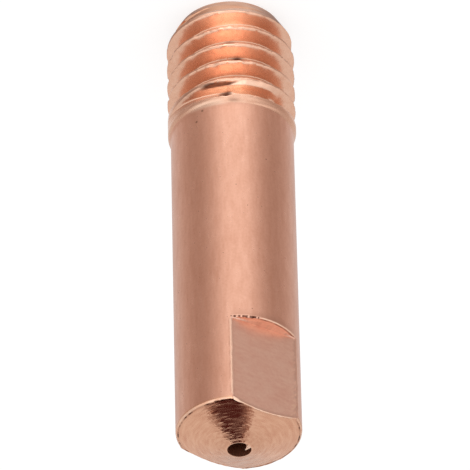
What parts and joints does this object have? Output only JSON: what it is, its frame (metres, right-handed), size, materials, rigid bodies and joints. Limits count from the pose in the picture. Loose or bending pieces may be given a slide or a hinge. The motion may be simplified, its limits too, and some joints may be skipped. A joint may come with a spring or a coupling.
{
  "type": "welding contact tip",
  "caption": "Turned copper contact tip with a rolled rear thread, plain barrel, opposed spanner flats, shallow cone nose and a straight wire bore that guides and energises welding wire.",
  "frame": {"origin": "centre of the rear end face, on the axis of the wire bore, where the tip stands", "axes": "+Z along the axis towards the nose; the spanner flats face -Y and +Y"},
  "size_m": [0.006, 0.006, 0.0238],
  "materials": {
    "copper": "satin"
  },
  "bodies": {
    "root": {"contact_tip": "copper"}
  },
  "joints": []
}
